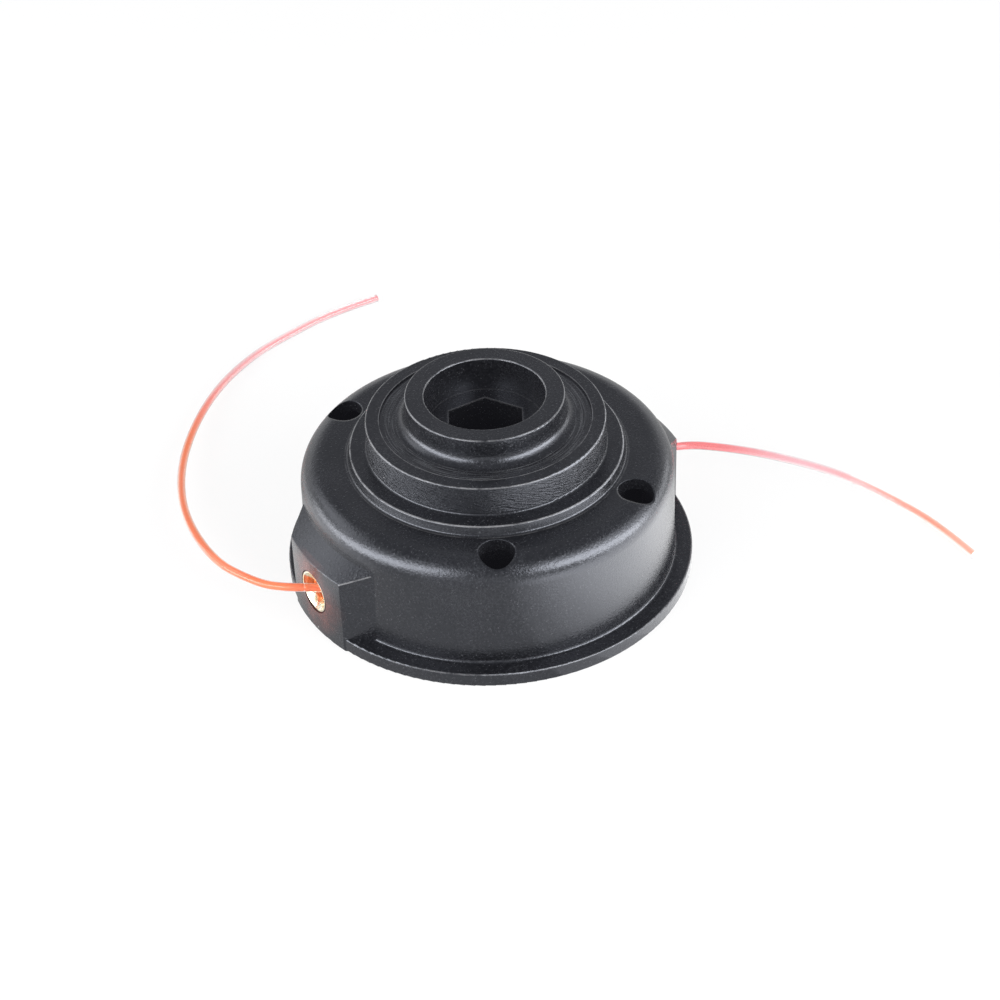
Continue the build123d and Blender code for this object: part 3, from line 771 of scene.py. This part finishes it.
# Floor, light and camera
FLOOR_HALF = 4.0
FLOOR_WHITE = (0.95, 0.95, 0.95, 1)
FLOOR_GLOW = 0.85
FLOOR_GLOW_LEVEL = 1.0
FLOOR_GLEAM_LEVEL = 0.62
WORLD_TOP = (0.33, 0.335, 0.35, 1)
WORLD_LOW = (1.0, 1.0, 1.0, 1)
WORLD_FALL = (0.06, 0.52)
AIM = Vector((0.0, 0.0, 0.03))
# Softboxes: name, direction about +Z and up, roll, distance, width, height, watts, with angles in degrees
SOFTBOXES = [
    ("key_right", -60.0, 18.0, -25.0, 0.95, 1.30, 0.36, 10.3),
    ("surround_right", -56.0, 24.0, -20.0, 0.98, 1.40, 0.80, 6.3),
    ("key_left", 176.0, 18.0, 25.0, 0.95, 1.30, 0.36, 8.8),
    ("surround_left", 178.0, 24.0, 20.0, 0.98, 1.40, 0.80, 4.2),
    ("rim_left", 126.0, 34.0, 0.0, 0.95, 0.50, 0.40, 1.1),
    ("low_left", 134.0, 4.0, 0.0, 0.95, 0.40, 0.22, 1.30),
    ("low_right", -12.0, 3.0, 0.0, 0.95, 0.80, 0.20, 1.2),
]
# Bright round patches of the table that show in reflections only:
# place, radii of the steps of light, level of a step
TABLES = [
    ((0.180, -0.090), (0.168, 0.158, 0.151, 0.145, 0.140, 0.135), 0.50),
    ((-0.200, 0.020), (0.110, 0.073, 0.037), 0.72),
    ((-0.110, -0.015), (0.055,), 0.50),
]
TABLE_LIFT = 0.2 * MM


def floor_material():
    """Matt floor that keeps a soft shadow, reads as white to the eye and is dimmer in reflections."""
    material = bpy.data.materials.new("floor_white")
    material.use_nodes = True
    material.node_tree.nodes.clear()
    floor = Nodes(material.node_tree)
    path = floor.add("ShaderNodeLightPath").outputs
    mirrored = floor.math("SUBTRACT", path["Is Glossy Ray"], path["Is Transmission Ray"])
    seen = floor.math("MAXIMUM", path["Is Camera Ray"], path["Is Glossy Ray"])
    seen = floor.math("MAXIMUM", seen, path["Is Transmission Ray"])
    diffuse = floor.add("ShaderNodeBsdfDiffuse")
    floor.feed(FLOOR_WHITE, diffuse.inputs["Color"])
    glow = floor.add("ShaderNodeEmission")
    level = floor.ramp_linear(mirrored, 0.0, 1.0, FLOOR_GLOW_LEVEL, FLOOR_GLEAM_LEVEL)
    floor.feed(level, glow.inputs["Strength"])
    mix = floor.add("ShaderNodeMixShader")
    floor.feed(floor.math("MULTIPLY", seen, FLOOR_GLOW), mix.inputs[0])
    floor.feed(diffuse.outputs[0], mix.inputs[1])
    floor.feed(glow.outputs[0], mix.inputs[2])
    out = floor.add("ShaderNodeOutputMaterial")
    floor.feed(mix.outputs[0], out.inputs["Surface"])
    return material


def add_floor():
    """Flat floor under the part."""
    h = FLOOR_HALF
    floor = mesh_object("floor", [(-h, -h, 0), (h, -h, 0), (h, h, 0), (-h, h, 0)], [(0, 1, 2, 3)],
                        floor_material(), smooth=False)


def add_world():
    """Soft room light, white at the horizon."""
    world = bpy.data.worlds.new("room")
    bpy.context.scene.world = world
    world.use_nodes = True
    room = Nodes(world.node_tree)
    direction = room.add("ShaderNodeSeparateXYZ")
    room.feed(room.add("ShaderNodeTexCoord").outputs["Generated"], direction.inputs[0])
    rise = room.ramp(direction.outputs[2], *WORLD_FALL)
    background = world.node_tree.nodes["Background"]
    room.feed(room.blend(rise, WORLD_LOW, WORLD_TOP), background.inputs["Color"])
    background.inputs["Strength"].default_value = 1.0


def area_light(name, matrix, **settings):
    """Area light, which the camera doesn't see."""
    lamp = bpy.data.lights.new(name, "AREA")
    for setting, value in settings.items():
        setattr(lamp, setting, value)
    obj = bpy.data.objects.new(name, lamp)
    obj.matrix_world = matrix
    obj.visible_camera = False
    bpy.context.scene.collection.objects.link(obj)
    return obj


def add_softbox(name, around, up, roll, distance, width, height, watts):
    """Softbox that faces the part."""
    around, up = radians(around), radians(up)
    direction = Vector((cos(up) * cos(around), cos(up) * sin(around), sin(up)))
    turn = direction.to_track_quat("Z", "Y").to_matrix().to_4x4()
    matrix = Matrix.Translation(AIM + direction * distance) @ turn @ Matrix.Rotation(radians(roll), 4, "Z")
    area_light(name, matrix, shape="RECTANGLE", size=width, size_y=height, energy=watts)


def add_table(place, radii, level):
    """Patch of the table beside the part, brighter from step to step, placed as the camera sees it."""
    for step, radius in enumerate(radii):
        centre = Matrix.Translation((*place, TABLE_LIFT * (step + 1)))
        matrix = Matrix.Rotation(CAMERA_TURN, 4, "Z") @ centre @ Matrix.Rotation(pi, 4, "X")
        watts = level * (pi * radius) ** 2
        patch = area_light("table_light", matrix, shape="DISK", size=2 * radius, energy=watts)
        patch.visible_diffuse = False
        patch.visible_transmission = False


def add_camera():
    """Camera at the photograph's angle."""
    data = bpy.data.cameras.new("camera")
    data.lens = CAMERA_LENS
    data.sensor_width = CAMERA_SENSOR
    camera = bpy.data.objects.new("camera", data)
    camera.matrix_world = (
        Matrix.Rotation(CAMERA_TURN, 4, "Z")
        @ Matrix.Translation(CAMERA_PLACE)
        @ Matrix.Rotation(-CAMERA_YAW, 4, "Z")
        @ Matrix.Rotation(pi / 2 - CAMERA_PITCH, 4, "X")
        @ Matrix.Rotation(-CAMERA_ROLL, 4, "Z")
    )
    bpy.context.scene.collection.objects.link(camera)
    bpy.context.scene.camera = camera


add_floor()
add_world()
for softbox in SOFTBOXES:
    add_softbox(*softbox)
for table in TABLES:
    add_table(*table)
add_camera()
bpy.context.scene.view_settings.view_transform = "Standard"
